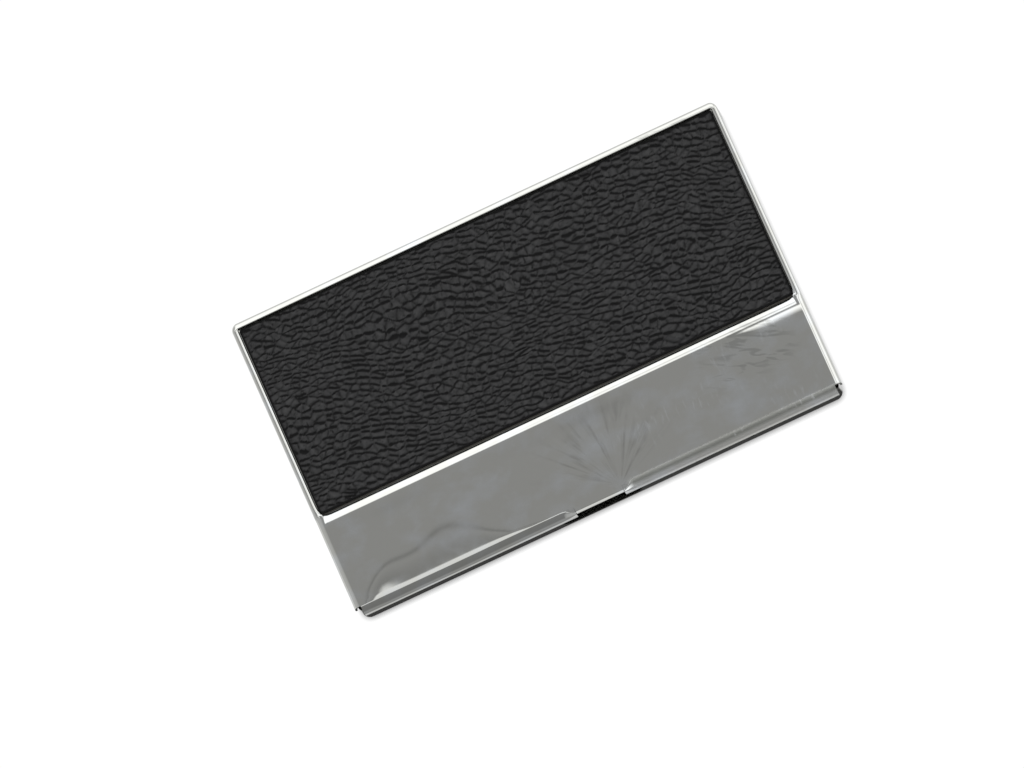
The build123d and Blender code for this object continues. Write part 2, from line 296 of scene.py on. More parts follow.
def wiping_fan(g, where, x, y, plateau):
    """Dark and light wiping streaks that spread over the plateau from the notch."""
    dx = g.math("SUBTRACT", x, FAN[0])
    dy = g.math("SUBTRACT", y, FAN[1])
    turn = g.math("ARCTAN2", dy, dx)
    squares = g.math("ADD", g.math("MULTIPLY", dx, dx), g.math("MULTIPLY", dy, dy))
    reach = g.math("DIVIDE", g.math("SQRT", squares), FAN_REACH)
    polar = g.add("ShaderNodeCombineXYZ", {0: turn, 1: reach}).outputs[0]
    streak = stretched_noise(g, polar, FAN_SCALE, 3.0, 0.5)
    near = g.ramp(reach, ((0.03, 0.0), (0.12, 1.0), (0.6, 1.0), (1.0, 0.0)))
    spread = g.ramp(g.math("DIVIDE", turn, math.pi), ((0.12, 0.0), (0.22, 0.9), (0.72, 1.0), (0.9, 0.0)))
    broken = g.ramp(stretched_noise(g, where, BREAKS, 2.0), ((0.38, 0.25), (0.58, 1.0)))
    fan = g.math("MULTIPLY", g.math("MULTIPLY", near, spread), g.math("MULTIPLY", plateau, broken))
    dark = g.math("MULTIPLY", g.ramp(streak, ((0.5, 0.0), (0.66, 1.0))), fan)
    light = g.math("MULTIPLY", g.ramp(streak, ((0.32, 1.0), (0.46, 0.0))), fan)
    return dark, light


def curl_marks(g, where, side, y, plateau):
    """Short curled marks near the plateau's right end."""
    tilted = g.add("ShaderNodeMapping", {"Vector": where, "Rotation": (0.0, 0.0, CURL_TURN)}).outputs[0]
    curls = stretched_noise(g, tilted, CURLS, 1.5, 0.9)
    right = g.ramp(side, ((0.5, 0.0), (0.68, 1.0), (0.86, 1.0), (0.93, 0.0)))
    inland = g.math("DIVIDE", g.math("SUBTRACT", y, FRONT), CURL_DEPTH)
    rearward = g.ramp(inland, ((0.4, 0.0), (0.55, 1.0)))
    patch = g.math("MULTIPLY", g.math("MULTIPLY", right, rearward), plateau)
    return g.math("MULTIPLY", g.ramp(curls, ((0.53, 0.0), (0.63, 1.0))), patch)


def stroke_marks(g, where, side, plateau):
    """Light fore-and-aft strokes in scattered patches of the plateau's right half."""
    strokes = g.ramp(stretched_noise(g, where, STROKES, 2.0), ((0.56, 0.0), (0.72, 1.0)))
    patches = g.ramp(stretched_noise(g, where, STROKE_PATCHES, 1.0), ((0.52, 0.0), (0.64, 1.0)))
    right = g.ramp(side, ((0.0, 0.0), (0.2, 1.0)))
    return g.math("MULTIPLY", g.math("MULTIPLY", g.math("MULTIPLY", strokes, patches), right), plateau)


def polished_lid():
    """Polished sheet: clouds, streaks, curls and strokes on the plateau; the right front bend is rougher and
    also carries painted shade that darkens its reflection.
    """
    made, g = material("steel_lid")
    where = g.add("ShaderNodeTexCoord").outputs["Object"]
    x, y, z = g.add("ShaderNodeSeparateXYZ", {"Vector": where}).outputs
    plateau = g.ramp(g.math("DIVIDE", z, TOP), PLATEAU_MASK)
    side = g.math("DIVIDE", x, SIDE)
    dark, light = wiping_fan(g, where, x, y, plateau)
    curl = curl_marks(g, where, side, y, plateau)
    stroke = stroke_marks(g, where, side, plateau)
    inland = g.math("DIVIDE", g.math("SUBTRACT", y, FRONT), 2 * BEND)
    right_half = g.ramp(side, ((0.11, 0.0), (0.15, 1.0)))
    hazed = g.math("MULTIPLY", g.ramp(inland, ((0.5, 1.0), (0.65, 0.0))), right_half)
    # painted shade: a band over the right half of the front bend that darkens what it mirrors
    bend_shade_band = g.ramp(inland, ((0.15, 0.0), (0.3, 1.0), (0.53, 1.0), (0.58, 0.0)))
    bend_painted_shade = g.math("MULTIPLY", bend_shade_band, right_half)
    cloud = g.ramp(stretched_noise(g, where, CLOUDS, 6.0), ((0.46, 0.0), (0.72, 1.0)))

    tone = mixed(g, cloud, POLISH, POLISH_CLOUDED)
    # painted shade on the right front bend
    tone = mixed(g, g.math("MULTIPLY", bend_painted_shade, 0.8), tone, BEND_PAINTED_SHADE_TONE)
    tone = mixed(g, g.math("MULTIPLY", dark, 0.6), tone, STREAK_TONE)
    tone = mixed(g, g.math("MULTIPLY", curl, 0.5), tone, CURL_TONE)
    bright = g.math("ADD", g.math("MULTIPLY", light, 0.2), g.math("MULTIPLY", stroke, 0.5))
    tone = mixed(g, bright, tone, BRIGHT_TONE)
    rough = g.math("ADD", g.math("MULTIPLY", cloud, 0.05), POLISH_ROUGHNESS)
    rough = g.math("ADD", rough, g.math("MULTIPLY", g.math("ADD", dark, bright), 0.04))
    rough = g.math("ADD", rough, g.math("MULTIPLY", hazed, 0.3))
    hairlines = g.math("MULTIPLY", stretched_noise(g, where, HAIRLINES, 1.0), 0.004)
    relief = g.math("MULTIPLY", g.math("SUBTRACT", light, dark), 0.012)
    metal(g, tone, rough, g.math("ADD", relief, hairlines), POLISH_RELIEF)
    return made


def leather_material():
    """Black pressed leather: painted shade darkens the creases, the wrinkles, the cells' sides and the pad's
    edge, which are also duller; a fine pore grain on the raised cells.
    """
    made, g = material("leather_black")
    where = g.add("ShaderNodeTexCoord").outputs["Object"]
    painted_shade_attribute = g.add("ShaderNodeAttribute", attribute_name="painted_shade_attribute").outputs["Fac"]
    slow = stretched_noise(g, where, LEATHER_CLOUDS, 2.0)
    pores = g.add("ShaderNodeTexVoronoi", {"Vector": where, "Scale": PORES}, feature="F1").outputs["Distance"]
    fine = stretched_noise(g, where, LEATHER_GRIT, 3.0)
    top = mixed(g, g.ramp(slow, ((0.3, 0.0), (0.7, 1.0))), LEATHER_TONE, LEATHER_DULL_TONE)
    # painted shade from the mask made with the pad
    tone = mixed(g, g.ramp(painted_shade_attribute, ((0.05, 0.0), (0.7, 1.0))), top, PAINTED_CREASE_SHADE_TONE)
    rough = g.ramp(painted_shade_attribute, ((0.05, 0.5), (0.6, 0.85)))
    height = g.math("ADD", g.math("MULTIPLY", pores, 0.6), fine)
    bump = g.add("ShaderNodeBump", {"Height": height, "Strength": 0.35, "Distance": 0.03 * MM})
    values = {"Base Color": tone, "Roughness": rough, "Normal": bump.outputs["Normal"]}
    shader = g.add("ShaderNodeBsdfPrincipled", {**values, "Specular IOR Level": LEATHER_GLOSS})
    g.add("ShaderNodeOutputMaterial", {"Surface": shader.outputs["BSDF"]})
    return made


def glue_film():
    """Dark dried glue, cloudy and slightly uneven."""
    made, g = material("glue_film")
    where = g.add("ShaderNodeTexCoord").outputs["Object"]
    cloud = stretched_noise(g, where, GLUE_CLOUDS, 4.0)
    tone = mixed(g, cloud, GLUE_TONE, GLUE_PALE_TONE)
    rough = g.ramp(cloud, ((0.3, 0.3), (0.7, 0.5)))
    bump = g.add("ShaderNodeBump", {"Height": cloud, "Strength": 0.5, "Distance": 0.02 * MM})
    values = {"Base Color": tone, "Roughness": rough, "Normal": bump.outputs["Normal"]}
    shader = g.add("ShaderNodeBsdfPrincipled", values)
    g.add("ShaderNodeOutputMaterial", {"Surface": shader.outputs["BSDF"]})
    return made


def dress(names, made):
    """Gives carried-over CAD pieces their material."""
    for name in names:
        node = frame["nodes"][name]
        node.data.materials.clear()
        node.data.materials.append(made)


LID_STEEL = polished_lid()
LEATHER = leather_material()
ALONG_X = (0.02, 1.0, 1.0)
dress(("base_shell",), steel("steel_tray", TRAY_TONE, 0.1, 0.25, ALONG_X))
dress(("card_stop", "snap_spring"), steel("steel_satin", SATIN_TONE, 0.28, 1.0, ALONG_X))
SMALL_PARTS = [n for n in frame["nodes"] if "rivet" in n or "hinge" in n]
dress(SMALL_PARTS, steel("steel_turned", TURNED_TONE, 0.18, 0.4))
dress(("leather_adhesive",), glue_film())


# ---------------------------------------------------------------- pressed lid
def arc(radius=1.0):
    """Quarter turn in even steps: (along, fall) pairs for a bend that starts level."""
    turns = [math.pi / 2 * i / ARC_STEPS for i in range(ARC_STEPS + 1)]
    return [(radius * math.sin(t), radius * (1 - math.cos(t))) for t in turns]


def spaced(start, stop, step):
    """Even places after start, up to stop, about step apart."""
    count = max(1, round(abs(stop - start) / step))
    return [start + (stop - start) * (i + 1) / count for i in range(count)]


def mix(a, b, share):
    return a + (b - a) * share


def smooth(share):
    share = min(max(share, 0.0), 1.0)
    return share * share * (3 - 2 * share)


def bent(centre, height, radius):
    """Bend about (centre, height), from level to plumb, as (outward, height) points."""
    return [(centre + along, height + radius - fall) for along, fall in arc(radius)]


def flange(edge, start):
    """Plumb points from a bend's end down to the lip."""
    return [(edge, mix(start, LIP, (i + 1) / FLANGE_STEPS)) for i in range(FLANGE_STEPS)]


def rim_profile(wall, edge, bend, inset):
    """(outward, height) points over a rim: up the bed's wall, over the crest and down the flange."""
    centre = max(bend, inset + TIGHT)
    inner = max(bend - inset, TIGHT)
    crest = wall + centre + RIM_CREST
    outer = edge - inset - crest
    low = TOP - centre
    points = [(wall + inset, mix(BED - inset, low, i / WALL_STEPS)) for i in range(WALL_STEPS)]
    rise = [(wall + centre - along, TOP - centre + inner - fall) for along, fall in arc(inner)]
    points += reversed(rise)
    points += bent(crest, TOP - inset - outer, outer)
    return points + flange(edge - inset, TOP - inset - outer)


def plateau_profile(inset):
    """The same columns where they cross the plateau: level, then one wide bend and the flange."""
    start = BED_SIDE - CORNER
    points = [(mix(start, FLANGE_END, (i + 1) / CREST), TOP - inset) for i in range(CREST)]
    points.append((SIDE - SIDE_BEND - SUPPORT, TOP - inset))
    points += bent(SIDE - SIDE_BEND, TOP - SIDE_BEND, SIDE_BEND - inset)
    return points + flange(SIDE - inset, TOP - SIDE_BEND)


def ear_lip(y):
    """Height of the side flange's lower edge: level, then sloping down to the round hinge ear."""
    reach = PIVOT.y - EAR_SLOPE_START
    drop = LIP - PIVOT.z
    lean = math.atan2(drop, reach) + math.asin(EAR / math.hypot(reach, drop))
    touch = PIVOT.y - EAR * math.sin(lean)
    if y < EAR_SLOPE_START or y > PIVOT.y + EAR:
        return LIP
    if y < touch:
        return LIP - (y - EAR_SLOPE_START) * math.tan(lean)
    return PIVOT.z - math.sqrt(max(EAR ** 2 - (y - PIVOT.y) ** 2, 0.0))


def step_profile():
    """(rearward, drop, tilt) points down the step from the plateau: a shallow lead-in, then a round bend."""
    lead = STEP_LEAD / STEP_LEAD_TILT
    drop = TOP - BED - lead * (1 - math.cos(STEP_LEAD_TILT))
    radius = drop / (math.cos(STEP_LEAD_TILT) - math.cos(STEP_END_TILT))
    third = STEP_STEPS // 3
    points = [(0.0, 0.0, 0.0)]
    for i in range(1, third + 1):
        tilt = mix(0.0, STEP_LEAD_TILT, i / third)
        points.append((lead * math.sin(tilt), lead * (1 - math.cos(tilt)), tilt))
    start_y, start_z = points[-1][:2]
    for i in range(third + 1, STEP_STEPS + 1):
        tilt = mix(STEP_LEAD_TILT, STEP_END_TILT, (i / third - 1) / 2)
        y = radius * (math.sin(tilt) - math.sin(STEP_LEAD_TILT)) + start_y
        z = radius * (math.cos(STEP_LEAD_TILT) - math.cos(tilt)) + start_z
        points.append((y, z, tilt))
    return points


STEP_POINTS = step_profile()
STEP_START = BED_FRONT - STEP_POINTS[-1][0]


def column_places():
    """Columns from the middle outwards: (kind, place), with a doubled line at the notch's end."""
    tongue = [0.0] + spaced(0.0, NOTCH, PITCH)
    outer = spaced(NOTCH, FOOT_SIDE, FINE_PITCH) + spaced(FOOT_SIDE, BED_SIDE - CORNER, FINE_PITCH)
    places = [("tongue", x) for x in tongue] + [("level", x) for x in [NOTCH] + outer]
    return places + [("side", k) for k in range(SKIRT + FLANGE_STEPS)]


def row_places():
    """Rows from the front lip to the foot under the rear: (kind, place)."""
    rows = [("lip", 1 - i / FLANGE_STEPS) for i in range(FLANGE_STEPS)]
    rows += [("front", i) for i in reversed(range(ARC_STEPS + 1))]
    start = FRONT + BEND + SUPPORT
    near = spaced(start, FRONT + BEND + LIP_LEAN, PITCH / 5)
    middle = spaced(near[-1], STEP_START - END_LOBE, PITCH / 2)
    far = spaced(middle[-1], STEP_START, PITCH / 4)
    rows += [("plateau", y) for y in [start] + near + middle + far]
    rows += [("step", i) for i in range(1, STEP_STEPS + 1)]
    rows += [("bed", y) for y in spaced(BED_FRONT, EAR_SLOPE_START, PITCH)]
    rows += [("bed", y) for y in spaced(EAR_SLOPE_START, BED_REAR - CORNER, PITCH / 5)]
    rows += [("rear", k) for k in range(SKIRT + FLANGE_STEPS)]
    rows += [("tail", z) for z in spaced(LIP, REAR_FLANGE, PITCH)]
    rows += [("foot", along) for along in arc()]
    return rows + [("sole", y) for y in spaced(REAR - FOOT_BEND, REAR - FOOT_DEPTH, PITCH)]


class Face:
    """One side of the pressed sheet: the outside, or the inside a sheet's thickness in."""

    def __init__(self, inset):
        self.inset = inset
        self.side = rim_profile(BED_SIDE, SIDE, SIDE_RIM_INNER, inset)
        self.rear = rim_profile(BED_REAR, REAR, REAR_RIM_INNER, inset)
        self.plain = plateau_profile(inset)

    def front(self, kind, x, row, at):
        """Front bend and flange, with a tighter bend at the notch's cut ends and none on its tongue."""
        if kind == "tongue":
            reach = (at if row == "front" else ARC_STEPS) / ARC_STEPS
            y = mix(FRONT + BEND, FRONT + TONGUE_SETBACK, reach)
            droop = TONGUE_DROOP * max(1 - (y - FRONT - TONGUE_SETBACK) / TONGUE_LEAN, 0.0)
            return x * (1 - SLIT / NOTCH * reach), y, TOP - self.inset - droop
        bend = mix(NOTCH_BEND, BEND, smooth((x - NOTCH) / NOTCH_FADE))
        if row == "lip":
            return x, FRONT + self.inset, mix(TOP - bend, LIP, at)
        radius = max(bend - self.inset, TIGHT)
        centre = max(bend, self.inset + TIGHT)
        along, fall = arc(radius)[at]
        return x, FRONT + centre - along, TOP - centre + radius - fall

    def level(self, kind, place, row, at):
        """Plateau, step and bed; share is how much of the plateau's shape the sides have there."""
        y, z, share = at, TOP - self.inset, 1.0
        if row == "bed":
            z, share = BED - self.inset, 0.0
        if row == "step":
            along, drop, tilt = STEP_POINTS[at]
            share = 1 - drop / (TOP - BED)
            y = STEP_START + along - self.inset * math.sin(tilt)
            z = TOP - drop - self.inset * math.cos(tilt)
            z = z if at < STEP_STEPS else BED - self.inset
        if kind != "side":
            return place, y, z
        rim_x, rim_z = self.side[place]
        if place <= CREST:
            rim_z = mix(rim_z, TOP - self.inset, share)
        blend = smooth(share)
        x = mix(rim_x, self.plain[place][0], blend)
        z = mix(rim_z, self.plain[place][1], blend)
        if place > SKIRT - 1:
            start = mix(self.side[SKIRT - 1][1], self.plain[SKIRT - 1][1], blend)
            z = mix(start, ear_lip(y), (place - SKIRT + 1) / FLANGE_STEPS)
        return x, y, z

    def corner(self, column, row):
        """Rear corner: the square grid's lines turned into rings about the bed's corner."""
        ring = max(column, row)
        turn = (min(column, row) + 1) / (ring + 1) * math.pi / 4
        turn = turn if column >= row else math.pi / 2 - turn
        along = turn / (math.pi / 2)
        x = BED_SIDE - CORNER + (self.side[ring][0] - BED_SIDE + CORNER) * math.cos(turn)
        y = BED_REAR - CORNER + (self.rear[ring][0] - BED_REAR + CORNER) * math.sin(turn)
        z = mix(self.side[ring][1], self.rear[ring][1], along)
        if ring > SKIRT - 1:
            start = mix(self.side[SKIRT - 1][1], self.rear[SKIRT - 1][1], along)
            z = mix(start, ear_lip(y), (ring - SKIRT + 1) / FLANGE_STEPS)
        return x, y, z

    def point(self, column, row):
        """Where a grid point lies on the side with positive X."""
        kind, place = column
        x = self.plain[place][0] if kind == "side" else place
        name, at = row
        if name in ("lip", "front"):
            return self.front(kind, x, name, at)
        if name in ("plateau", "step", "bed"):
            return self.level(kind, place, name, at)
        if name == "rear":
            return self.corner(place, at) if kind == "side" else (x, *self.rear[at])
        if name == "tail":
            return x, REAR - self.inset, at
        if name == "foot":
            radius = FOOT_BEND - self.inset
            return x, REAR - FOOT_BEND + radius * (1 - at[1]), FOOT + FOOT_BEND - radius * at[0]
        return x, at, FOOT + self.inset


def kept(left, right, low, high):
    """Whether the sheet has a face between two neighbouring columns and two neighbouring rows."""
    kinds = {left[0], right[0]}
    outer = max(left[1], right[1])
    if kinds == {"tongue", "level"}:
        return False
    if low[0] == "lip" and "tongue" in kinds:
        return False
    if low[0] in ("lip", "front") and "side" in kinds and (kinds != {"side", "level"} and outer >= CREST):
        return False
    if high[0] in ("tail", "foot", "sole") and "side" in kinds:
        return False
    return high[0] not in ("foot", "sole") or outer < FOOT_SIDE + SUPPORT


def uneven(x, y, z):
    """Adds the round bed corners, the ripples and the roll-offs to a point of the sheet."""
    reach = math.hypot(abs(x) - BED_SIDE, y - BED_FRONT) / BED_CORNER_REACH
    shift = BED_CORNER_SHIFT * math.exp(-reach * reach) * smooth((SIDE - abs(x)) / (SIDE - BED_SIDE))
    height = min(max((z - LIP) / (TOP - LIP - SHEET), 0.0), 1.0)
    inland = smooth((STEP_START - y) / RIPPLE_FADE) * smooth((y - FRONT) / RIPPLE_FRONT_FADE)
    inland *= smooth((SIDE - abs(x)) / RIPPLE_FADE)
    wave = noise.noise(Vector((x, RIPPLE_SQUASH * y, 0.0)) / RIPPLE_LENGTH + RIPPLE_OFFSET)
    sag = RIPPLE * (1 + wave) * inland
    depth = sum(lobe * math.exp(-((x - place) / spread) ** 2) for place, spread, lobe in ROLL_OFF_LOBES)
    toward = max(1 - max(y - FRONT - BEND, 0.0) / max(depth, TIGHT), 0.0)
    tilt = ROLL_OFF_TILT + ROLL_OFF_END_TILT * smooth((-x - ROLL_OFF_END) / ROLL_OFF_END_FADE)
    fade = smooth((x + ROLL_OFF_CORNER) / ROLL_OFF_CORNER_FADE)
    sag += fade * tilt * depth / 2 * toward ** 2
    lean = smooth((-x - LIP_START) / LIP_FADE) * max(1 - max(y - FRONT - BEND, 0.0) / LIP_LEAN, 0.0) ** 2
    sag += fade * LIP_TILT * LIP_LEAN / 2 * lean
    depth = END_LOBE * smooth((x - END_START) / END_FADE)
    toward = max(1 - max(STEP_START - y, 0.0) / max(depth, TIGHT), 0.0)
    sag += END_TILT * depth / 2 * toward ** 2
    return x - math.copysign(shift, x), y + shift, z - sag * height


def mesh_object(name, vertices, faces):
    mesh = bpy.data.meshes.new(name)
    mesh.from_pydata(vertices, [], faces)
    thing = bpy.data.objects.new(name, mesh)
    bpy.context.scene.collection.objects.link(thing)
    return thing


def applied(thing, *helpers):
    """Makes the modifiers' result the mesh, and removes the helper objects."""
    evaluated = thing.evaluated_get(bpy.context.evaluated_depsgraph_get())
    mesh = bpy.data.meshes.new_from_object(evaluated)
    thing.modifiers.clear()
    old = thing.data
    thing.data = mesh
    bpy.data.meshes.remove(old)
    for helper in helpers:
        bpy.data.objects.remove(helper)


def soften(thing):
    """Smooth shading with crisp edges, and flats that stay flat beside their bends."""
    thing.data.shade_smooth()
    thing.data.set_sharp_from_angle(angle=SHARP_ANGLE)
    weighted = thing.modifiers.new("weighted", "WEIGHTED_NORMAL")
    weighted.keep_sharp = True
    applied(thing)


def ear_cutter(side):
    """Countersunk hole through a hinge ear."""
    stations = ((SIDE - 3 * SHEET, HOLE), (SIDE - (SINK - HOLE), HOLE), (SIDE + SHEET, SINK + SHEET))
    turns = [math.tau * i / HOLE_SIDES for i in range(HOLE_SIDES)]
    ring = [(math.cos(turn), math.sin(turn)) for turn in turns]
    vertices = [(side * x, PIVOT.y + r * c, PIVOT.z + r * s) for x, r in stations for c, s in ring]
    faces = []
    for first in range(0, HOLE_SIDES * (len(stations) - 1), HOLE_SIDES):
        for i in range(HOLE_SIDES):
            j = (i + 1) % HOLE_SIDES
            faces.append((first + i, first + j, first + HOLE_SIDES + j, first + HOLE_SIDES + i))
    faces.append(tuple(reversed(range(HOLE_SIDES))))
    faces.append(tuple(range(len(vertices) - HOLE_SIDES, len(vertices))))
    if side < 0:
        faces = [tuple(reversed(f)) for f in faces]
    return mesh_object("cutter", vertices, faces)


def sheet_faces(columns, rows, ids):
    """Quads between neighbouring grid points, wherever the sheet has a face."""
    faces = []
    width = len(columns)
    for j in range(len(rows) - 1):
        for i in range(width - 1):
            if kept(columns[i][1], columns[i + 1][1], rows[j], rows[j + 1]):
                a = j * width + i
                faces.append(tuple(ids[k] for k in (a, a + 1, a + width + 1, a + width)))
    return faces


def pressed_lid():
    """The lid as a closed sheet: the outside's grid, the inside's, and the cut edges between them."""
    half = column_places()
    columns = [(-1, c) for c in reversed(half)] + [(1, c) for c in half[1:]]
    rows = row_places()
    outside, inside, ids, known = [], [], [], {}
    faces = (Face(0.0), Face(SHEET))
    for row in rows:
        for side, column in columns:
            out, into = (face.point(column, row) for face in faces)
            key = (side * round(out[0], WELD_DIGITS), round(out[1], WELD_DIGITS), round(out[2], WELD_DIGITS))
            if key not in known:
                known[key] = len(outside)
                outside.append(uneven(side * out[0], out[1], out[2]))
                inside.append(uneven(side * into[0], into[1], into[2]))
            ids.append(known[key])
    upper = sheet_faces(columns, rows, ids)
    count = len(outside)
    lower = [tuple(count + v for v in reversed(f)) for f in upper]
    edges = {(f[k], f[(k + 1) % 4]) for f in upper for k in range(4)}
    walls = [(b, a, count + a, count + b) for a, b in sorted(edges) if (b, a) not in edges]
    lid = mesh_object("lid_sheet", outside + inside, upper + lower + walls)
    made = bmesh.new()
    made.from_mesh(lid.data)
    bmesh.ops.delete(made, geom=[v for v in made.verts if not v.link_faces], context="VERTS")
    made.to_mesh(lid.data)
    made.free()
    cutters = [ear_cutter(side) for side in (-1, 1)]
    for cutter in cutters:
        hole = lid.modifiers.new("hole", "BOOLEAN")
        hole.object = cutter
        hole.operation = "DIFFERENCE"
        hole.solver = "EXACT"
    applied(lid, *cutters)
    soften(lid)
    return lid


lid_sheet = pressed_lid()
lid_sheet.data.materials.append(LID_STEEL)
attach(lid_sheet, "lid")
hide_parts("lid_shell")


# ---------------------------------------------------------------- grained leather
GRAIN_SEED = 11
GRAIN_ANGLE = math.radians(-13)
CELL_LENGTH = 1.75 * MM
CELL_WIDTH = 1.12 * MM
JITTER_ALONG = (0.02, 0.98)
JITTER_ACROSS = (0.16, 0.84)
CREASE_HALF = 0.15 * MM                 # half a crease's width
CREASE_FALL = 1.6
CREASE_DEPTH = 0.13 * MM
SHADE_HALF = 0.21 * MM                  # half the width of the painted shade along a crease
SHADE_FALL = 1.4
SHADE_POWER = 1.2
STRENGTH_SPREAD = 3.7
CROSS_DEPTH = 0.06 * MM                 # depth of the creases across the grain, times CROSS_LEAST to 1
CROSS_LEAST = 0.3
CROSS_GAIN = 1.6
CROSS_START = 0.35
PILLOW_DEPTH = 0.05 * MM                # the cells are crowned: they fall by this much towards a crease
PILLOW_REACH = 0.4 * MM
PILLOW_SHADE = 0.2
WRINKLE_DEPTH = 0.025 * MM
WRINKLE_FALL = 1.5
WRINKLE_SHADE = 0.45
LEATHER_STEP = (0.235 * MM, 0.162 * MM)    # distance between the grid's lines, along X and Y
LEATHER_EDGE = 0.24 * MM                # width of the pad's rounded edge
LEATHER_SETBACK = 0.26 * MM             # the pad's front edge lies this far inside the CAD panel's
LEATHER_SIDE_SETBACK = 0.08 * MM        # and its other edges this far
LEATHER_REAR_CORNER = 0.45 * MM
LEATHER_FRONT_CORNER = 0.8 * MM
LEATHER_SHARP_ANGLE = math.radians(60)
EDGE_LINES = (0.0, 0.08, 0.28, 0.6)     # grid lines over a rounded edge, in widths of LEATHER_EDGE
# Slow random shifts of the grain's cells along and across its run: (height, length, seed)
SHIFTS_ALONG = ((0.35 * MM, 2.3 * MM, 1), (1.2 * MM, 9.0 * MM, 2))
SHIFTS_ACROSS = ((0.28 * MM, 1.9 * MM, 3), (1.6 * MM, 11.0 * MM, 4), (0.07 * MM, 0.7 * MM, 5))
# Slow random sinking of the surface: (height, length, seed)
SINKING = ((0.02 * MM, 3.1 * MM, 6), (0.014 * MM, 0.62 * MM, 7))
WRINKLE_LENGTH = 0.5 * CELL_LENGTH
WRINKLE_WIDTH = 0.62 * CELL_WIDTH
WRINKLE_HALF = 0.6 * CREASE_HALF
EDGE_RELIEF = 0.25                      # share of the relief that is left at the pad's very edge
EDGE_FALL = 0.9


def field(x, y, size, seed):
    """Smooth random values between -1 and 1 that change over about size."""
    x, y = x / size, y / size
    i, j = np.floor(x).astype(int), np.floor(y).astype(int)
    low_i, low_j = i.min(), j.min()
    values = np.random.default_rng(seed).uniform(-1, 1, (i.max() - low_i + 2, j.max() - low_j + 2))
    i, j, s, t = i - low_i, j - low_j, x - i, y - j
    s, t = s * s * (3 - 2 * s), t * t * (3 - 2 * t)
    near = values[i, j] * (1 - s) + values[i + 1, j] * s
    far = values[i, j + 1] * (1 - s) + values[i + 1, j + 1] * s
    return near * (1 - t) + far * t


def crease_map(u, v, length, width, seed):
    """Distance to the nearest crease of a jittered cell pattern, how far it runs across, and its strength."""
    u, v = u / length, v / width
    i, j = np.floor(u).astype(int), np.floor(v).astype(int)
    low_i, low_j = i.min() - 2, j.min() - 2
    shape = (i.max() - low_i + 3, j.max() - low_j + 3)
    rng = np.random.default_rng(seed)
    along = rng.uniform(*JITTER_ALONG, shape)
    across = rng.uniform(*JITTER_ACROSS, shape)
    weight = rng.uniform(0, 1, shape)
    best = [np.full(u.shape, np.inf), np.zeros(u.shape), np.zeros(u.shape), np.zeros(u.shape)]
    second = [b.copy() for b in best]
    for di in range(-2, 3):
        for dj in range(-2, 3):
            a, b = i + di - low_i, j + dj - low_j
            du, dv = i + di + along[a, b] - u, j + dj + across[a, b] - v
            new = [du * du + dv * dv, du, dv, weight[a, b]]
            closer = new[0] < best[0]
            next_best = ~closer & (new[0] < second[0])
            kept_second = [np.where(next_best, n, old) for n, old in zip(new, second)]
            second = [np.where(closer, old, other) for old, other in zip(best, kept_second)]
            best = [np.where(closer, n, old) for n, old in zip(new, best)]
    gap_u, gap_v = second[1] - best[1], second[2] - best[2]
    gap = np.hypot(gap_u, gap_v)
    gap_u, gap_v = gap_u / gap, gap_v / gap
    reach = (second[0] - best[0]) / (2 * gap) / np.hypot(gap_u / length, gap_v / width)
    return reach, np.abs(gap_u), np.mod(STRENGTH_SPREAD * (best[3] + second[3]), 1.0)


def grain(x, y):
    """Depth below the leather's highest points, and a painted-shade mask from 0 to 1 that darkens the
    creases, the wrinkles and the cells' sides.
    """
    turn_x = x * math.cos(GRAIN_ANGLE) + y * math.sin(GRAIN_ANGLE)
    turn_y = y * math.cos(GRAIN_ANGLE) - x * math.sin(GRAIN_ANGLE)
    u = turn_x + sum(height * field(x, y, size, seed) for height, size, seed in SHIFTS_ALONG)
    v = turn_y + sum(height * field(x, y, size, seed) for height, size, seed in SHIFTS_ACROSS)
    reach, across, strength = crease_map(u, v, CELL_LENGTH, CELL_WIDTH, GRAIN_SEED)
    cross_depth = CROSS_DEPTH * (CROSS_LEAST + (1 - CROSS_LEAST) * strength)
    depth = mix(CREASE_DEPTH, cross_depth, np.clip(CROSS_GAIN * across - CROSS_START, 0, 1))
    line = np.exp(-(reach / CREASE_HALF) ** CREASE_FALL)
    pillow = np.exp(-reach / PILLOW_REACH)
    fine, _, fine_strength = crease_map(u + v / 3, v, WRINKLE_LENGTH, WRINKLE_WIDTH, GRAIN_SEED + 1)
    wrinkle = np.exp(-(fine / WRINKLE_HALF) ** WRINKLE_FALL) * fine_strength ** 2
    drop = depth * line + PILLOW_DEPTH * pillow + WRINKLE_DEPTH * wrinkle
    drop = drop + sum(height * (1 + field(x, y, size, seed)) for height, size, seed in SINKING)
    # painted shade: dark in and beside the creases, on the wrinkles and on the crowned cells' sides
    shade = (depth / CREASE_DEPTH) ** SHADE_POWER * np.exp(-(reach / SHADE_HALF) ** SHADE_FALL)
    painted_shade_mask = np.clip(shade + WRINKLE_SHADE * wrinkle + PILLOW_SHADE * pillow, 0, 1)
    return drop, painted_shade_mask


def edge_places(low, high, step):
    """Grid lines from one edge to the other, closer together over the rounded edges."""
    near = [low + LEATHER_EDGE * line for line in EDGE_LINES]
    far = [high - LEATHER_EDGE * line for line in reversed(EDGE_LINES)]
    count = round((far[0] - near[-1]) / step)
    return np.array(near[:-1] + list(np.linspace(near[-1], far[0], count + 1)) + far[1:])


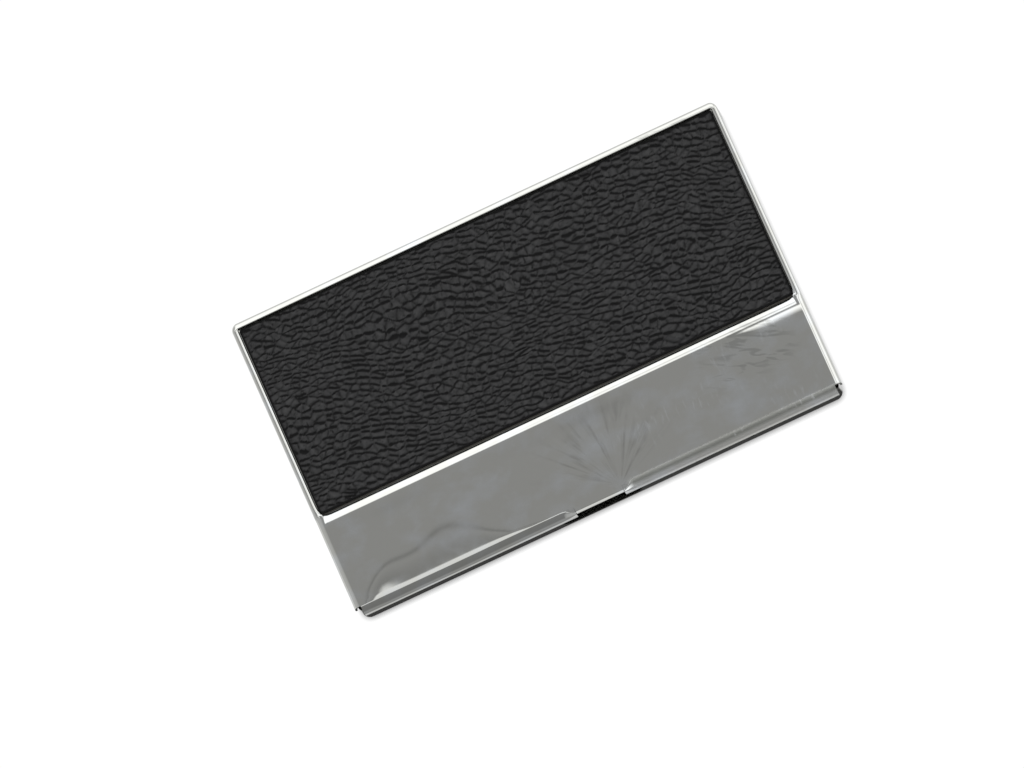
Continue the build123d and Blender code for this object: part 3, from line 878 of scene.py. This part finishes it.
def rounded(x, y, low, high):
    """The pad's grid with its square corners drawn in to round ones."""
    for side in (-1, 1):
        for away, end, radius in ((-1, low.y, LEATHER_FRONT_CORNER), (1, high.y, LEATHER_REAR_CORNER)):
            centre_y = end - away * radius
            dx = (x * side - (high.x - radius)) * side
            dy = y - centre_y
            inside = (dx * side > 0) & (dy * away > 0)
            square = np.maximum(np.abs(dx), np.abs(dy))
            scale = np.where(inside, square / np.maximum(np.hypot(dx, dy), TIGHT ** 2), 1.0)
            x = np.where(inside, x - dx + dx * scale, x)
            y = np.where(inside, centre_y + dy * scale, y)
    return x, y


def pad_mesh(x, y, z, painted_shade_mask, foot_z):
    """Closed pad: the grained top, plumb sides and a flat underside, with the painted-shade mask as an
    attribute.
    """
    rows, width = x.shape
    top = np.stack([x, y, z], axis=-1).reshape(-1, 3)
    index = np.arange(rows * width).reshape(rows, width)
    quads = np.stack([index[:-1, :-1], index[:-1, 1:], index[1:, 1:], index[1:, :-1]], axis=-1).reshape(-1, 4)
    rim = list(index[0]) + list(index[1:, -1]) + list(index[-1, -2::-1]) + list(index[-2:0:-1, 0])
    foot = top[rim].copy()
    foot[:, 2] = foot_z
    count = len(rim)
    base = rows * width
    sides = [(rim[(k + 1) % count], rim[k], base + k, base + (k + 1) % count) for k in range(count)]
    vertices = np.concatenate([top, foot])
    faces = quads.tolist() + sides + [tuple(base + k for k in reversed(range(count)))]
    pad = mesh_object("leather_grain", vertices.tolist(), faces)
    painted_shade_attribute = pad.data.attributes.new("painted_shade_attribute", "FLOAT", "POINT")
    painted_shade_attribute.data.foreach_set("value", np.concatenate([painted_shade_mask.ravel(), np.zeros(count)]).astype(np.float32))
    return pad


def leather_pad():
    """The leather panel with real creases, on a grid that is finer over its rounded edges."""
    low = LEATHER_LOW + Vector((LEATHER_SIDE_SETBACK, LEATHER_SETBACK, 0.0))
    high = LEATHER_HIGH - Vector((LEATHER_SIDE_SETBACK, LEATHER_SIDE_SETBACK, 0.0))
    x_places = edge_places(low.x, high.x, LEATHER_STEP[0])
    y_places = edge_places(low.y, high.y, LEATHER_STEP[1])
    x, y = np.meshgrid(x_places, y_places)
    inland = np.minimum(np.minimum(x - low.x, high.x - x), np.minimum(y - low.y, high.y - y))
    x, y = rounded(x, y, low, high)
    drop, painted_shade_mask = grain(x, y)
    fade = np.clip(inland / LEATHER_EDGE, 0, 1)
    fall = 1 - fade
    relief = drop * (EDGE_RELIEF + (1 - EDGE_RELIEF) * fade)
    z = high.z - relief - LEATHER_EDGE * (1 - np.sqrt(1 - fall ** 2)) * EDGE_FALL
    # painted shade: the pad darkens towards its edges
    painted_shade_mask = np.maximum(painted_shade_mask, 1 - np.clip(inland / (2 * LEATHER_EDGE), 0, 1) ** 2)
    pad = pad_mesh(x, y, z, painted_shade_mask, low.z)
    pad.data.shade_smooth()
    pad.data.set_sharp_from_angle(angle=LEATHER_SHARP_ANGLE)
    return pad


leather_grain = leather_pad()
leather_grain.data.materials.append(LEATHER)
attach(leather_grain, "lid")
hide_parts("leather_panel")


# ---------------------------------------------------------------- stage
FLOOR_SIZE = 12.0
FLOOR_RISE = 0.02 * MM                  # just above the tray's underside, so that the two never coincide
FLOOR_WHITE = 1.03
SHADOW_REACH = 1.3 * MM
SHADOW_POWER = 1.1
SHADOW_GAIN = 1.15
SHADOW_SAMPLES = 12
EVEN_LIGHT = (1.0, 1.0, 1.0)

# Mirrored table, seen only in reflections: (share of TABLE_REACH forwards from TABLE_START, brightness); its
# dark band just ahead of the case is a painted contact shadow
TABLE_START = FRONT + 2 * MM
TABLE_REACH = 20.0 * MM
TABLE_WITH_PAINTED_SHADOW = ((0.0, 0.7), (0.03, 0.04), (0.14, 0.06), (0.18, 0.65), (0.24, 0.65), (0.5, 0.25), (1.0, 0.3))

# Mirrored studio panels: (degrees from overhead towards the front, brightness). FINE_PANEL takes over within
# FINE, because one ramp over WIDE is too coarse for its narrow bands
WIDE = (-90, 90)
FINE = (-24, 12)
REAR_PANEL = ((-90, 1.2), (-60, 1.35))
FRONT_PANEL = ((-24, 1.3), (12, 0.2), (70, 0.19), (90, 0.3))
LINED_PANEL = ((-38, 1.3), (-33, 0.6), (-28, 1.25))
FINE_PANEL = ((-24, 1.3), (-20.5, 0.3), (-15.0, 0.3), (-14.5, 0.19), (-13.9, 0.31), (-12.0, 0.26),
              (-10.6, 0.23), (-9.3, 0.85), (-3.5, 0.8), (-1.0, 0.2), (12, 0.2))
# Mirrored side panels: (place from the left, 0, to the right, 1; brightness)
SIDE_PANEL = ((0.1, 0.5), (0.33, 0.42), (0.64, 1.3), (0.73, 1.3), (0.76, 0.75), (0.82, 0.75), (0.86, 1.25))


def panels(g, degrees, span, stops):
    """Ramp over a span of degrees."""
    low, high = span
    place = g.math("DIVIDE", g.math("SUBTRACT", degrees, low), high - low)
    return g.ramp(place, [((turn - low) / (high - low), value) for turn, value in stops])


def studio_world():
    """Even white light for the camera and matt surfaces, and soft panels for the polished steel to mirror."""
    world = bpy.data.worlds.new("studio")
    bpy.context.scene.world = world
    world.use_nodes = True
    g = Graph(world.node_tree)
    direction = g.add("ShaderNodeTexCoord").outputs["Generated"]
    x, y, z = g.add("ShaderNodeSeparateXYZ", {"Vector": direction}).outputs
    degrees = g.math("DEGREES", g.math("ARCTAN2", g.math("MULTIPLY", y, -1.0), z))
    fine = panels(g, degrees, FINE, FINE_PANEL)
    in_fine = g.math("COMPARE", degrees, (FINE[0] + FINE[1]) / 2, (FINE[1] - FINE[0]) / 2)
    even = mixed(g, in_fine, panels(g, degrees, WIDE, REAR_PANEL + FRONT_PANEL), fine)
    lined = mixed(g, in_fine, panels(g, degrees, WIDE, REAR_PANEL + LINED_PANEL + FRONT_PANEL), fine)
    # the thin dark line of LINED_PANEL shows everywhere but in directions to the left
    rightward = g.ramp(g.math("ADD", g.math("MULTIPLY", x, 10.0), 1.0), ((0.36, 0.0), (0.55, 1.0)))
    sides = g.ramp(g.math("ADD", g.math("MULTIPLY", x, 0.5), 0.5), SIDE_PANEL)
    beside = g.ramp(g.math("ABSOLUTE", x), ((0.2, 0.0), (0.38, 1.0)))
    mirrored = mixed(g, beside, mixed(g, rightward, even, lined), sides)
    path = g.add("ShaderNodeLightPath")
    seen = mixed(g, path.outputs["Is Glossy Ray"], EVEN_LIGHT, mirrored)
    glow = g.add("ShaderNodeBackground", {"Color": seen, "Strength": 1.0})
    g.add("ShaderNodeOutputWorld", {"Surface": glow.outputs[0]})


def floor():
    """Pale floor that glows evenly, with a painted contact shadow close to the case from ambient occlusion;
    steel mirrors a darker table instead, with a painted shadow band just ahead of the case.
    """
    half = FLOOR_SIZE / 2
    corners = [(-half, -half), (half, -half), (half, half), (-half, half)]
    sheet = mesh_object("floor", [(x, y, FLOOR_RISE) for x, y in corners], [(0, 1, 2, 3)])
    made, g = material("floor_white")
    where = g.add("ShaderNodeTexCoord").outputs["Object"]
    y = g.add("ShaderNodeSeparateXYZ", {"Vector": where}).outputs[1]
    # painted contact shadow: the floor's glow dims by ambient occlusion near the case
    occlusion = g.add("ShaderNodeAmbientOcclusion", {"Distance": SHADOW_REACH}, samples=SHADOW_SAMPLES)
    shadow = g.math("MULTIPLY", g.math("POWER", occlusion.outputs["AO"], SHADOW_POWER), SHADOW_GAIN)
    shadow = g.math("MINIMUM", shadow, FLOOR_WHITE)
    seen = g.add("ShaderNodeEmission", {"Color": (*EVEN_LIGHT, 1.0), "Strength": shadow})
    ahead = g.math("DIVIDE", g.math("SUBTRACT", TABLE_START, y), TABLE_REACH)
    # painted shadow in reflections: the table is dark just ahead of the case
    mirrored = g.add("ShaderNodeEmission", {"Color": g.ramp(ahead, TABLE_WITH_PAINTED_SHADOW), "Strength": 1.0})
    path = g.add("ShaderNodeLightPath")
    both = {0: path.outputs["Is Glossy Ray"], 1: seen.outputs[0], 2: mirrored.outputs[0]}
    surface = g.add("ShaderNodeMixShader", both).outputs[0]
    g.add("ShaderNodeOutputMaterial", {"Surface": surface})
    sheet.data.materials.append(made)


def camera():
    """Long lens that looks at aim from the direction of back, rolled about its line of sight."""
    azimuth, elevation, roll = map(math.radians, (CAMERA_AZIMUTH, CAMERA_ELEVATION, CAMERA_ROLL))
    flat = math.cos(elevation)
    back = Vector((math.sin(azimuth) * flat, -math.cos(azimuth) * flat, math.sin(elevation)))
    level = Vector((math.cos(azimuth), math.sin(azimuth), 0.0))
    raised = back.cross(level)
    right = math.cos(roll) * level + math.sin(roll) * raised
    up = math.cos(roll) * raised - math.sin(roll) * level
    low, high = CAD_BOX
    aim = (low + high) / 2 + FRAME_OFFSET[0] * right + FRAME_OFFSET[1] * up
    data = bpy.data.cameras.new("camera")
    data.sensor_width = SENSOR_WIDTH
    data.lens = SENSOR_WIDTH * CAMERA_DISTANCE / FRAME_WIDTH
    data.clip_start = CAMERA_NEAR
    data.clip_end = 2 * CAMERA_DISTANCE
    seat = bpy.data.objects.new("camera", data)
    bpy.context.scene.collection.objects.link(seat)
    seat.matrix_world = Matrix((right, up, back)).transposed().to_4x4()
    seat.location = aim + back * CAMERA_DISTANCE
    bpy.context.scene.camera = seat


studio_world()
floor()
camera()
bpy.context.scene.view_settings.view_transform = "Standard"
